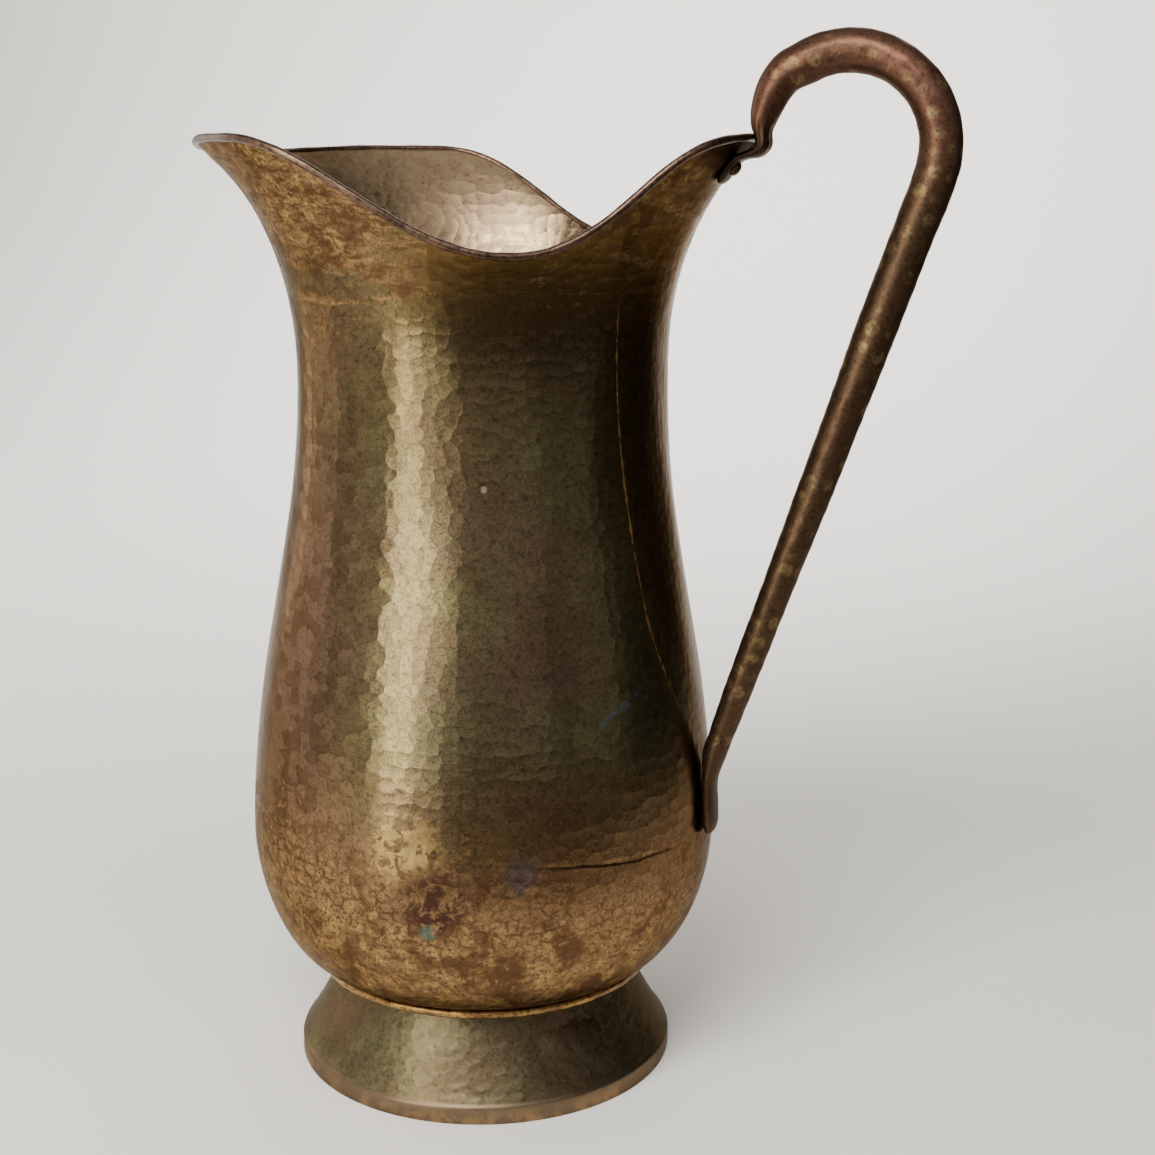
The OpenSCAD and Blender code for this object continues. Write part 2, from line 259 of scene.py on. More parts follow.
def blend(tree, fac, a, b):
    """Colour a turning into colour b as fac goes from 0 to 1."""
    node = tree.nodes.new("ShaderNodeMix")
    node.data_type = "RGBA"
    for number, value in ((0, fac), (6, a), (7, b)):
        if isinstance(value, bpy.types.NodeSocket):
            tree.links.new(value, node.inputs[number])
        else:
            node.inputs[number].default_value = linear(value) if isinstance(value, str) else value
    return node.outputs[2]


def surface_bump(tree, shader, *layers):
    """Bump nodes in a chain, each (height, strength, depth in metres)."""
    normal = None
    for height, strength, depth in layers:
        node = add(tree, "ShaderNodeBump", Height=height, Strength=strength, Distance=depth)
        if normal is not None:
            tree.links.new(normal, node.inputs["Normal"])
        normal = node.outputs["Normal"]
    tree.links.new(normal, shader.inputs["Normal"])


columns = 384
mark_size = 6.3 * mm
marks_round_belly = 98
turn_deg = np.arange(columns) * 360 / columns
turn = np.radians(turn_deg)[None, :]
edge = edge_height(turn_deg)[None, :]


def body_rows(count_low, count_high, split):
    """Heights of the rows, one row of numbers a ring: even steps of the profile's length from the base
    to split, then even steps from there to the edge, which differs round the mouth."""
    fine = np.linspace(base_z, split, 4000)
    length = np.concatenate([[0], np.cumsum(np.hypot(np.diff(fine), np.diff(body_radius(fine))))])
    low = np.interp(np.linspace(0, length[-1], count_low), length, fine)[:, None] + 0 * edge
    t = np.linspace(0, 1, count_high + 1)[1:, None]
    return np.concatenate([low, split + (edge - split) * t])


fine_z = np.linspace(base_z, 490 * mm, 5000)
fine_s = np.concatenate([[0], np.cumsum(np.hypot(np.diff(fine_z), np.diff(body_radius(fine_z))))])


def body_surface(z, inward):
    """Points of the sheet at heights z, inward metres in from its outside along the profile's normal,
    with the pulled corners, the slow waves and the dents; and how many marks up each row lies."""
    r = body_radius(z)
    slope = (body_radius(z + 0.2 * mm) - body_radius(z - 0.2 * mm)) / (0.4 * mm)
    n_r, n_z = 1 / np.hypot(1, slope), -slope / np.hypot(1, slope)
    s = np.interp(z, fine_z, fine_s)
    dent = hammer_dents(turn + 0 * z, s, r, mark_size, 120 * mm, 0.5)
    out = pulled_out(turn_deg[None, :], z) + dent * np.clip((edge - z) / (4 * mm), 0.1, 1) - inward
    rr, zz = r + out * n_r, z + out * n_z * np.clip((edge - z) / (6 * mm), 0, 1)
    return np.stack([rr * np.cos(turn), rr * np.sin(turn), zz], -1), s / mark_size


outer, outer_up = body_surface(body_rows(160, 40, 405 * mm), 0.0)
inner, inner_up = body_surface(body_rows(14, 34, 380 * mm), wall)
flange_r = np.array([83.2, 82.3, 82.6, 84.0, 87.2, 87.2, 84.2, 83.4])[:, None] * mm
flange_z = np.array([56.3, 55.2, 54.0, 53.2, 53.15, 54.1, 54.3, 55.2])[:, None] * mm
flange = np.stack([flange_r * np.cos(turn), flange_r * np.sin(turn), flange_z + 0 * turn], -1)
body = skin(
    "body", np.concatenate([outer, inner[::-1], flange]), True,
    marks_round_belly, np.concatenate([outer_up, inner_up[::-1], 0 * flange[..., 0]]),
    inside=np.concatenate([0 * outer[..., 0], 1 + 0 * inner[..., 0], 1 + 0 * flange[..., 0]]),
)


def hammer_cells(tree, jitter, wander, place):
    """Voronoi cells one hammer mark wide, laid out on the UV map: (distance to the nearest centre,
    distance to the nearest border, one random number a cell)."""
    uv = tree.nodes.new("ShaderNodeUVMap").outputs["UV"]
    shift = add(tree, "ShaderNodeTexNoise", Vector=place, Scale=70.0, Detail=2.0).outputs["Color"]
    shift = vectors(tree, "SUBTRACT", _0=shift, _1=(0.5, 0.5, 0.5)).outputs[0]
    shift = vectors(tree, "SCALE", _0=shift, Scale=wander).outputs[0]
    at = vectors(tree, "ADD", _0=uv, _1=shift).outputs[0]
    near = add(tree, "ShaderNodeTexVoronoi", {"voronoi_dimensions": "2D"},
               Vector=at, Scale=1.0, Randomness=jitter)
    border = add(tree, "ShaderNodeTexVoronoi", {"voronoi_dimensions": "2D", "feature": "DISTANCE_TO_EDGE"},
                 Vector=at, Scale=1.0, Randomness=jitter)
    lot = add(tree, "ShaderNodeSeparateColor", Color=near.outputs["Color"]).outputs[0]
    return near.outputs["Distance"], border.outputs["Distance"], lot


# Aged yellow brass under an oily olive-brown patina: clear, fairly sharp reflections that are
# tinted and dimmed by the film, and brighter, softer ones where it is worn back to metal.
aged_brass, tree, shader, place = new_material("aged_brass_sheet")
parts = add(tree, "ShaderNodeSeparateXYZ", Vector=place)
east, height = parts.outputs["X"], parts.outputs["Z"]
inside = add(tree, "ShaderNodeAttribute", {"attribute_name": "inside"}).outputs["Fac"]
mark, border, lot = hammer_cells(tree, 0.75, 0.6, place)
cloud = noise(tree, place, 70 * mm, 2.0, 0.45)
bloom = noise(tree, stretched(tree, place, 1.0, 1.0, 0.7), 130 * mm, 2.0, 0.45)
mottle = noise(tree, place, 24 * mm, 5.0, 0.62, 0.6)
patch = noise(tree, place, 8 * mm, 6.0, 0.66, 0.5)
speck = noise(tree, place, 2.2 * mm, 4.0, 0.7)
grit = noise(tree, place, 0.8 * mm, 3.0, 0.7)
streak = noise(tree, stretched(tree, place, 0.25, 0.25, 1.5), 15 * mm, 5.0, 0.65, 0.8)

# the line down the side under the handle, along which the handle's reflection is painted: its angle at each
# height, in half turns, and how far a point is past it and away from it
twice_height = maths(tree, "MULTIPLY", height, 2.0)
reflection_line_at = steps(tree, twice_height, (0.38, 0.465), (0.42, 0.433), (0.46, 0.408), (0.50, 0.391),
               (0.56, 0.383), (0.83, 0.348))
bearing = maths(tree, "ARCTAN2", parts.outputs["Y"], east)
angle = maths(tree, "ADD", maths(tree, "DIVIDE", bearing, np.pi), 0.5)
past = maths(tree, "SUBTRACT", angle, reflection_line_at)
beside = maths(tree, "ABSOLUTE", past)
beside = maths(tree, "ADD", maths(tree, "MULTIPLY", beside, 100.0), maths(tree, "MULTIPLY", patch, 1.5))

# the film: olive, greener and browner in broad clouds, brown on the lip's side and on the bowl,
# with fine dark specks and single marks darker than their neighbours
film = blend(tree, steps(tree, bloom, (0.42, 0.0), (0.60, 1.0)), "#776d4c", "#6c6b4f")
film = blend(tree, steps(tree, cloud, (0.44, 0.0), (0.62, 0.7)), film, "#6c5446")
browner = maths(tree, "ADD", east, maths(tree, "MULTIPLY", mottle, 0.05))
lip_side = steps(tree, maths(tree, "ADD", browner, 0.5), (0.480, 0.85), (0.510, 0.0))
film = blend(tree, lip_side, film, "#6d5546")
bowl = maths(tree, "ADD", twice_height, maths(tree, "MULTIPLY", mottle, 0.08))
film = blend(tree, steps(tree, bowl, (0.31, 0.9), (0.45, 0.0)), film, "#836447")
film = blend(tree, steps(tree, height, (0.29, 0.0), (0.36, 0.6)), film, "#635638")
# painted reflection: past the line, towards the handle, the film is painted darker where the body mirrors
# the handle's dark side
painted_dark_reflection = steps(tree, maths(tree, "ADD", past, maths(tree, "MULTIPLY", patch, 0.06)),
                    (0.04, 0.0), (0.09, 0.9))
film = blend(tree, painted_dark_reflection, film, "#5a4430")
film = blend(tree, steps(tree, mottle, (0.42, 0.0), (0.75, 0.40)), film, "#4b3b2c")
scales = maths(tree, "MULTIPLY", steps(tree, lot, (0.38, 0.5), (0.50, 0.0)),
               steps(tree, maths(tree, "ADD", east, 0.5), (0.44, 1.0), (0.50, 0.3)))
film = blend(tree, scales, film, "#463226")
film = blend(tree, steps(tree, border, (0.0, 0.20), (0.10, 0.0)), film, "#3a2d21")
film = blend(tree, steps(tree, speck, (0.34, 0.55), (0.50, 0.0)), film, "#2a2117")
film = blend(tree, steps(tree, grit, (0.36, 0.55), (0.50, 0.0)), film, "#332a1e")
# under the low side of the mouth the film is darker and browner, and less worn
low_side_darker = maths(tree, "ADD", east, maths(tree, "MULTIPLY", streak, 0.06))
low_side_darker = maths(tree, "MULTIPLY", steps(tree, low_side_darker, (0.0, 0.0), (0.06, 1.0)),
                steps(tree, twice_height, (0.77, 0.0), (0.85, 0.7)))
film = blend(tree, low_side_darker, film, "#694e28")

# worn metal: yellow brass, pinker where it is thinly veiled, with brown blotches, dark pits, smears
# along the flare and stained borders between some of the marks
worn = blend(tree, steps(tree, patch, (0.38, 0.0), (0.62, 1.0)), "#ab8b59", "#80644a")
worn = blend(tree, steps(tree, mottle, (0.49, 0.0), (0.60, 0.85)), worn, "#553d2b")
smear = noise(tree, stretched(tree, place, 1.0, 1.0, 4.0), 12 * mm, 6.0, 0.7, 0.3)
worn = blend(tree, maths(tree, "MULTIPLY", steps(tree, smear, (0.42, 0.85), (0.54, 0.0)),
                         steps(tree, height, (0.30, 0.35), (0.36, 1.0))), worn, "#4c3724")
worn = blend(tree, steps(tree, patch, (0.36, 0.55), (0.46, 0.0)), worn, "#bd9c62")
stained = maths(tree, "MULTIPLY", steps(tree, border, (0.03, 0.75), (0.14, 0.0)),
                steps(tree, patch, (0.48, 0.0), (0.54, 1.0)))
stained = maths(tree, "MULTIPLY", stained,
                steps(tree, height, (0.08, 0.3), (0.11, 1.0), (0.15, 1.0), (0.2, 0.3)))
worn = blend(tree, stained, worn, "#412c20")
worn = blend(tree, steps(tree, speck, (0.38, 0.8), (0.52, 0.0)), worn, "#563a26")
worn = blend(tree, steps(tree, grit, (0.36, 0.6), (0.50, 0.0)), worn, "#48301d")

# worn on the bowl: first the middles of the marks, further down everything but thin ragged lines
low = maths(tree, "ADD", patch, maths(tree, "MULTIPLY", maths(tree, "MINIMUM", border, 0.3), 0.35))
low = maths(tree, "ADD", low, maths(tree, "MULTIPLY", mottle, 0.4))
low = maths(tree, "ADD", low, maths(tree, "MULTIPLY", speck, 0.5))
low = maths(tree, "ADD", low, maths(tree, "MULTIPLY", maths(tree, "SUBTRACT", 0.130, height), 5.5))
low = maths(tree, "SUBTRACT", low, maths(tree, "MULTIPLY", east, 0.9))
low = steps(tree, maths(tree, "SUBTRACT", low, 0.48), (0.47, 0.0), (0.57, 1.0))
# and on the flare in horizontal streaks and blotches, least on its low side
high = maths(tree, "ADD", maths(tree, "MULTIPLY", streak, 1.1), maths(tree, "MULTIPLY", patch, 0.9))
high = maths(tree, "ADD", high, maths(tree, "MULTIPLY", maths(tree, "SUBTRACT", height, 0.405), 6.0))
high = maths(tree, "SUBTRACT", high, maths(tree, "MULTIPLY", low_side_darker, 0.22))
high = steps(tree, maths(tree, "SUBTRACT", high, 0.55), (0.44, 0.0), (0.60, 1.0))
high = maths(tree, "MULTIPLY", high, steps(tree, height, (0.345, 0.0), (0.410, 1.0)))
bare = maths(tree, "MAXIMUM", low, high)
# a painted reflection of the handle: a thin bright line along that line
painted_handle_reflection = maths(tree, "MULTIPLY", steps(tree, beside, (0.78, 1.0), (1.08, 0.0)),
            steps(tree, height, (0.19, 0.0), (0.23, 0.8), (0.39, 0.8), (0.415, 0.0)))
# and a crack-like line across the bowl, bright above and dark below
across = maths(tree, "ADD", height, maths(tree, "MULTIPLY", east, 0.122))
across = maths(tree, "ADD", maths(tree, "MULTIPLY", maths(tree, "SUBTRACT", across, 0.1513), 100.0),
               maths(tree, "ADD", 0.32, maths(tree, "MULTIPLY", mottle, 0.36)))
five_east = maths(tree, "MULTIPLY", east, 5.0)
near_side = steps(tree, maths(tree, "ADD", parts.outputs["Y"], 0.5), (0.46, 1.0), (0.48, 0.0))
near_side = maths(tree, "MULTIPLY", near_side,
                  steps(tree, five_east, (0.32, 0.0), (0.42, 1.0), (0.55, 1.0), (0.60, 0.0)))
groove = steps(tree, across, (0.32, 0.0), (0.40, 1.0), (0.47, 1.0), (0.52, 0.0))
groove = maths(tree, "MULTIPLY", groove, near_side)
bright = steps(tree, across, (0.48, 0.0), (0.53, 1.0), (0.60, 0.9), (0.72, 0.0))
bright = maths(tree, "MULTIPLY", bright, near_side)
bare = maths(tree, "MAXIMUM", bare, bright)
bare = maths(tree, "MULTIPLY", bare, steps(tree, speck, (0.36, 0.3), (0.46, 1.0)))


def spot(x, y, z, size, ragged):
    """A patch on the surface round a point (millimetres): 1 inside, 0 beyond size metres, with an edge
    broken up by the noise ragged."""
    away = vectors(tree, "DISTANCE", _0=place, _1=(x * mm, y * mm, z * mm)).outputs["Value"]
    away = maths(tree, "MULTIPLY", away, 1 / size)
    away = maths(tree, "ADD", away, maths(tree, "MULTIPLY", ragged, 1.6))
    return steps(tree, maths(tree, "SUBTRACT", away, 1.0), (0.35, 1.0), (0.75, 0.0))


colour = blend(tree, bare, film, worn)
# painted reflection of the handle, in dull gold
colour = blend(tree, painted_handle_reflection, colour, "#7d5c31")
colour = blend(tree, groove, colour, "#2b1d11")
# single marks: a painted highlight over the bowl, where the key light's reflection runs on down; a stain
# round a verdigris spot; a painted bluish reflection; and a pale nick
painted_highlight_breaks = steps(tree, patch, (0.47, 0.0), (0.51, 1.0))
stain_breaks = steps(tree, patch, (0.46, 0.15), (0.52, 1.0))
for place_size, ragged, strength, hex_colour in (
    # painted highlight: the key light's reflection carried on down over the bowl
    ((8, -120.5, 150, 24 * mm), patch, painted_highlight_breaks, "#a38a58"),
    ((22, -119.5, 125, 26 * mm), patch, stain_breaks, "#432e25"),
    ((18, -118.4, 109.4, 5 * mm), speck, 0.5, "#4b6f66"),
    # painted reflection: a bluish patch on the bowl
    ((62, -104.4, 140, 11 * mm), patch, 0.4, "#565461"),
    ((36.7, -88.9, 319.8, 2.0 * mm), speck, 1.0, "#b39c86"),
):
    seen = maths(tree, "MULTIPLY", spot(*place_size, ragged), strength)
    colour = blend(tree, seen, colour, hex_colour)


def scratch(a, b, width):
    """A straight scratch from a to b (millimetres): 1 within width metres of the line between them."""
    a, b = np.array(a) * mm, np.array(b) * mm
    way = (b - a) / np.linalg.norm(b - a)
    off = vectors(tree, "SUBTRACT", _0=place, _1=tuple(a)).outputs[0]
    along = vectors(tree, "DOT_PRODUCT", _0=off, _1=tuple(way)).outputs["Value"]
    wide = vectors(tree, "CROSS_PRODUCT", _0=off, _1=tuple(way)).outputs[0]
    wide = vectors(tree, "LENGTH", _0=wide).outputs["Value"]
    inside_ends = maths(tree, "MULTIPLY", maths(tree, "GREATER_THAN", along, 0.0),
                        maths(tree, "LESS_THAN", along, float(np.linalg.norm(b - a))))
    return maths(tree, "MULTIPLY", inside_ends, maths(tree, "LESS_THAN", wide, width))


# two bluish scratches on the handle's side
scratched = maths(tree, "MAXIMUM", scratch((88.6, -72.6, 206.1), (97, -57, 216), 1.2 * mm),
                  scratch((96, -60, 211), (102.2, -45.3, 223), 1.2 * mm))
scratched = maths(tree, "MULTIPLY", scratched, steps(tree, grit, (0.42, 0.2), (0.52, 0.8)))
colour = blend(tree, scratched, colour, "#66717a")

lining = blend(tree, steps(tree, mottle, (0.3, 0.0), (0.7, 1.0)), "#8c7a5c", "#7a6450")
lining = blend(tree, steps(tree, speck, (0.32, 0.5), (0.48, 0.0)), lining, "#4a3829")
# painted shade: round the handle's folded end both sides of the sheet are painted nearly black, and made
# rougher
painted_shade = maths(tree, "MULTIPLY", steps(tree, five_east, (0.60, 0.0), (0.64, 0.9)),
             steps(tree, twice_height, (0.90, 0.0), (0.93, 1.0)))
colour = blend(tree, painted_shade, blend(tree, inside, colour, lining), "#1c1611")
tree.links.new(colour, shader.inputs["Base Color"])
# less metallic along the painted reflection of the handle, so its painted colour shows; the film keeps the
# metal's edges from turning white
tree.links.new(maths(tree, "SUBTRACT", 1.0, maths(tree, "MULTIPLY", painted_handle_reflection, 0.6)), shader.inputs["Metallic"])
shader.inputs["Specular Tint"].default_value = (0.56, 0.52, 0.48, 1)
rough = maths(tree, "ADD", 0.17, maths(tree, "MULTIPLY", grit, 0.14))
rough = maths(tree, "ADD", rough, maths(tree, "MULTIPLY", bare, 0.14))
rough = maths(tree, "ADD", rough, maths(tree, "MULTIPLY", painted_shade, 0.3))
tree.links.new(rough, shader.inputs["Roughness"])
# each mark is a shallow hollow: its depth goes with the square of the distance from its centre
hollow = maths(tree, "MULTIPLY", maths(tree, "MULTIPLY", mark, mark),
               maths(tree, "ADD", 0.82, maths(tree, "MULTIPLY", inside, 0.2)))
surface_bump(tree, shader, (hollow, 1.0, 0.26 * mm), (grit, 0.16, 0.12 * mm), (speck, 0.18, 0.15 * mm))
body.data.materials.append(aged_brass)
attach(body, "root")
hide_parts("body_shell")


# ---------------------------------------------------------------- rim
# A round copper-alloy wire, bent to the mouth and soldered along the outside of its edge, then
# filed smooth. Its patina is darker and redder than the sheet's, rubbed to a dull shine on top.
wire_r = 1.9 * mm
wire_out = wire_r - 1.3 * mm


def rim_path(a):
    """The wire's middle line: it covers the sheet's edge and stands out from it on the outside."""
    z = edge_height(a) - wire_r * 0.2
    slope = (body_radius(z + 0.2 * mm) - body_radius(z - 0.2 * mm)) / (0.4 * mm)
    n_r, n_z = 1 / np.hypot(1, slope), -slope / np.hypot(1, slope)
    r = body_radius(z) + pulled_out(a, z) * n_r + n_r * wire_out
    t = np.radians(a)
    return np.stack([r * np.cos(t), r * np.sin(t), z + n_z * wire_out], -1)


rim_deg = np.arange(480) * 360 / 480
path = rim_path(rim_deg)
ahead = np.roll(path, -1, 0) - np.roll(path, 1, 0)
ahead /= np.linalg.norm(ahead, axis=1)[:, None]
rim_turn = np.radians(rim_deg)
radial = np.stack([np.cos(rim_turn), np.sin(rim_turn), 0 * rim_deg], -1)
side = radial - ahead * np.sum(radial * ahead, 1)[:, None]
side /= np.linalg.norm(side, axis=1)[:, None]
up = np.cross(ahead, side)
q = np.arange(20) * 2 * np.pi / 20
thick = wire_r * (1 + 0.05 * np.sin(rim_turn * 23 + 1) + 0.03 * np.sin(rim_turn * 51))[:, None, None]
section = np.cos(q)[None, :, None] * side[:, None, :] - np.sin(q)[None, :, None] * up[:, None, :]
rim = skin("rim_wire_visual", path[:, None, :] + thick * section, True)

dark_wire, tree, shader, place = new_material("oxidised_copper_alloy_wire")
mottle = noise(tree, place, 14 * mm, 5.0, 0.6)
speck = noise(tree, place, 2.0 * mm, 3.0, 0.6)
colour = blend(tree, steps(tree, mottle, (0.35, 0.0), (0.65, 1.0)), "#4c3b31", "#6e594a")
colour = blend(tree, steps(tree, speck, (0.35, 0.8), (0.52, 0.0)), colour, "#33241c")
tree.links.new(colour, shader.inputs["Base Color"])
shader.inputs["Metallic"].default_value = 1.0
tree.links.new(maths(tree, "ADD", 0.26, maths(tree, "MULTIPLY", speck, 0.2)), shader.inputs["Roughness"])
surface_bump(tree, shader, (speck, 0.25, 0.2 * mm))
rim.data.materials.append(dark_wire)
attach(rim, "root")
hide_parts("rim_wire")


# ---------------------------------------------------------------- bottom plate
# A brass disc whose edge is folded up and over the body's flange and beaten down. The fold
# is the bright, rubbed ridge between the body and the foot.
plate_profile = np.array([
    (0.6, 51.6), (60, 51.6), (86.8, 51.6), (88.2, 51.75), (88.9, 52.3), (89.15, 53.2),
    (89.1, 54.3), (88.7, 55.15), (87.9, 55.6), (86.4, 55.65), (85.5, 55.5), (85.3, 54.6),
    (86.5, 54.25), (87.3, 54.1), (87.4, 53.2), (86.0, 53.1), (60, 53.1), (0.6, 53.1),
]) * mm


def turned(name, profile, count, wave=None, marks_round=0, marks_up=0.0):
    """A closed shape turned from a closed profile of (radius, height) pairs. wave(angle, radius, height)
    moves each point out from the axis. With marks_round, its UV map counts hammer marks, marks_up of
    them a metre of height."""
    t = np.arange(count) * 2 * np.pi / count
    r = profile[:, :1] + 0 * t[None, :]
    z = profile[:, 1:] + 0 * t[None, :]
    if wave is not None:
        r = r + wave(t[None, :], r, z)
    return skin(name, np.stack([r * np.cos(t), r * np.sin(t), z], -1), True, marks_round, z * marks_up)


def plate_wave(t, r, z):
    """The fold is beaten by hand, so its edge waves by a few tenths of a millimetre."""
    return mm * np.clip((r - 70 * mm) / (16 * mm), 0, 1) * (
        0.16 * np.sin(17 * t) + 0.12 * np.sin(43 * t + 1) + 0.08 * np.sin(71 * t + 2) - 0.1)


plate = turned("bottom_plate_visual", plate_profile, 360, plate_wave)
rubbed_brass, tree, shader, place = new_material("rubbed_brass_fold")
mottle = noise(tree, place, 16 * mm, 5.0, 0.6)
speck = noise(tree, place, 2.2 * mm, 3.0, 0.65)
colour = blend(tree, steps(tree, mottle, (0.35, 0.0), (0.65, 1.0)), "#a8854e", "#73573a")
colour = blend(tree, steps(tree, speck, (0.36, 0.85), (0.50, 0.0)), colour, "#4e3620")
tree.links.new(colour, shader.inputs["Base Color"])
shader.inputs["Metallic"].default_value = 1.0
tree.links.new(maths(tree, "ADD", 0.28, maths(tree, "MULTIPLY", speck, 0.2)), shader.inputs["Roughness"])
surface_bump(tree, shader, (speck, 0.2, 0.15 * mm))
plate.data.materials.append(rubbed_brass)
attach(plate, "root")
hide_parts("bottom_plate")


# ---------------------------------------------------------------- foot
# A ring of brass sheet, hammered out to a spreading cone, turned in on top under the bottom plate
# and down at the edge into an upright band with a hem. A greyer, duller patina than the body's.
foot_low = np.array([
    (97.1, 0.3), (97.6, 0.0), (99.0, 0.0), (99.5, 0.4), (99.5, 8.2), (99.25, 9.0), (98.5, 9.6),
]) * mm
foot_high = np.array([(76.5, 51.0), (76.0, 51.55), (64.5, 51.55), (64.5, 50.4), (75.3, 50.4)]) * mm
cone_t = np.linspace(0, 1, 42)[1:-1, None]
foot_cone = foot_low[-1] + (foot_high[0] - foot_low[-1]) * cone_t
foot_cone[:, :1] -= 1.1 * mm * np.sin(np.pi * cone_t)
foot_inside = np.array([(97.1, 9.3), (97.1, 7.0)]) * mm
foot_outline = np.concatenate([foot_low, foot_cone, foot_high, foot_inside])


def foot_wave(t, r, z):
    """Dents in rows on the cone only, and slow waves of a few tenths of a millimetre."""
    cone = np.clip((z - 10.5 * mm) / (3 * mm), 0, 1) * np.clip((51 * mm - z) / (3 * mm), 0, 1)
    outer_side = (r > 76 * mm).astype(float)
    dents = hammer_dents(t + 0 * r, z * 1.14, r, 6.3 * mm, 80 * mm, 0.6)
    slow = 0.22 * np.sin(4 * t + 1) + 0.16 * np.sin(7 * t + z / (14 * mm)) + 0.08 * np.sin(19 * t + 2)
    free = np.clip(z / (12 * mm), 0, 1) * np.clip((51 * mm - z) / (6 * mm), 0, 1)
    return cone * outer_side * dents + mm * (slow - 0.35) * free


foot = turned("foot_visual", foot_outline, 352, foot_wave, 88, 1 / (5.6 * mm))
grey_brass, tree, shader, place = new_material("grey_brown_aged_brass")
height = add(tree, "ShaderNodeSeparateXYZ", Vector=place).outputs["Z"]
mark = hammer_cells(tree, 0.8, 0.6, place)[0]
cloud = noise(tree, place, 45 * mm, 3.0, 0.5)
mottle = noise(tree, place, 12 * mm, 5.0, 0.65, 0.5)
speck = noise(tree, place, 1.8 * mm, 4.0, 0.7)
colour = blend(tree, steps(tree, cloud, (0.40, 0.0), (0.62, 1.0)), "#625c44", "#5a4b39")
colour = blend(tree, steps(tree, mottle, (0.40, 0.0), (0.70, 0.6)), colour, "#443a2b")
colour = blend(tree, steps(tree, speck, (0.34, 0.6), (0.50, 0.0)), colour, "#2c2418")
# the band is browner, rubbed to brass in spots along its lower edge
low = maths(tree, "MULTIPLY", height, 20.0)
colour = blend(tree, steps(tree, low, (0.16, 0.85), (0.22, 0.0)), colour, "#6f5d4b")
worn = maths(tree, "MULTIPLY", steps(tree, low, (0.0, 0.9), (0.12, 0.3), (0.18, 0.0)),
             steps(tree, mottle, (0.42, 1.0), (0.52, 0.0)))
colour = blend(tree, worn, colour, "#957a56")
tree.links.new(colour, shader.inputs["Base Color"])
shader.inputs["Metallic"].default_value = 1.0
shader.inputs["Specular Tint"].default_value = (0.6, 0.56, 0.52, 1)
tree.links.new(maths(tree, "ADD", 0.30, maths(tree, "MULTIPLY", speck, 0.20)), shader.inputs["Roughness"])
hollow = maths(tree, "MULTIPLY", maths(tree, "MULTIPLY", mark, mark),
               steps(tree, low, (0.19, 0.0), (0.24, 1.0)))
surface_bump(tree, shader, (hollow, 1.0, 0.24 * mm), (speck, 0.2, 0.15 * mm), (mottle, 0.1, 0.3 * mm))
foot.data.materials.append(grey_brass)
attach(foot, "root")
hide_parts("foot")


# ---------------------------------------------------------------- foot solder
# Soft solder run round the inner edge of the foot's flange, dull grey and slightly lumpy.
dull_solder, tree, shader, place = new_material("dull_tin_lead_solder")
lumps = noise(tree, place, 5 * mm, 4.0, 0.6)
tree.links.new(steps(tree, lumps, (0.3, "#6d6b66"), (0.7, "#a09c94")), shader.inputs["Base Color"])
shader.inputs["Metallic"].default_value = 1.0
shader.inputs["Roughness"].default_value = 0.5
surface_bump(tree, shader, (lumps, 0.5, 0.5 * mm))
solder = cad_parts["foot_solder"]
solder.data.materials.clear()
solder.data.materials.append(dull_solder)


# ---------------------------------------------------------------- handle
# A tapering tube rolled from copper-rich sheet and hammered, beaten flat at the bottom into a
# tongue on the belly; at the top it is pinched, folded and beaten flat under the flare.
#
# Stations along it, in millimetres: distance from the axis, height, half the thickness, half the
# width, and the power of the section's superellipse, where 2 is round and more is squarer.
grip_foot, grip_top = np.array([128.80, 185.0]), np.array([222.89, 460.75])
crook_centre, crook_r, lean = np.array([182.0, 474.7]), 43.2, 18.84
s = np.linspace(0, 1, 13)
tube = 7.0 + 3.2 * np.sin(np.pi / 2 * s) ** 1.45
tube[0] = 6.6
grip = np.column_stack([grip_foot + (grip_top - grip_foot) * s[:, None], tube, tube, 2 + 0 * s])
arc_deg = np.radians(-lean + 138 * np.arange(1, 16) / 15)
crook = np.column_stack([
    crook_centre[0] + crook_r * np.cos(arc_deg), crook_centre[1] + crook_r * np.sin(arc_deg),
    10.2 + 0 * arc_deg, 10.2 + 0 * arc_deg, 2 + 0 * arc_deg])
lower_end = np.array([
    (123.1, 133.3, 1.3, 3.6, 2.0), (123.9, 134.6, 2.3, 6.2, 2.0), (124.5, 138.2, 3.05, 8.3, 2.3),
    (124.4, 142.2, 3.1, 8.7, 2.5), (124.1, 149.0, 3.1, 8.8, 2.5), (123.7, 156.5, 3.2, 8.7, 2.4),
    (123.85, 162.5, 3.75, 8.2, 2.2), (124.6, 169.0, 5.0, 7.6, 2.1), (126.0, 176.5, 6.3, 7.2, 2.0)])
# the upper end, from the crook over the wire and in under the flare, measured from the sheet's edge
sheet_edge = (136.6, 479.1, 0, 0, 0)
upper_end = sheet_edge + np.array([
    (16.0, 28.9, 9.8, 10.2, 2.0), (10.9, 22.3, 8.8, 10.0, 2.0), (7.7, 14.8, 7.6, 9.6, 2.0),
    (6.1, 9.3, 6.4, 9.2, 2.1), (5.6, 4.8, 5.0, 8.8, 2.2), (6.1, 0.8, 3.4, 8.7, 2.4),
    (6.35, -2.7, 3.5, 8.8, 2.4), (4.3, -6.0, 2.9, 8.8, 2.4), (-1.0, -7.8, 2.1, 8.8, 2.5),
    (-6.1, -10.0, 1.85, 8.7, 2.6), (-8.6, -13.2, 1.8, 8.7, 2.6), (-11.1, -16.5, 1.8, 8.5, 2.6),
    (-13.0, -19.2, 1.75, 7.6, 2.6), (-14.2, -20.8, 1.1, 5.2, 2.2)])
stations = np.concatenate([lower_end, grip, crook, upper_end])


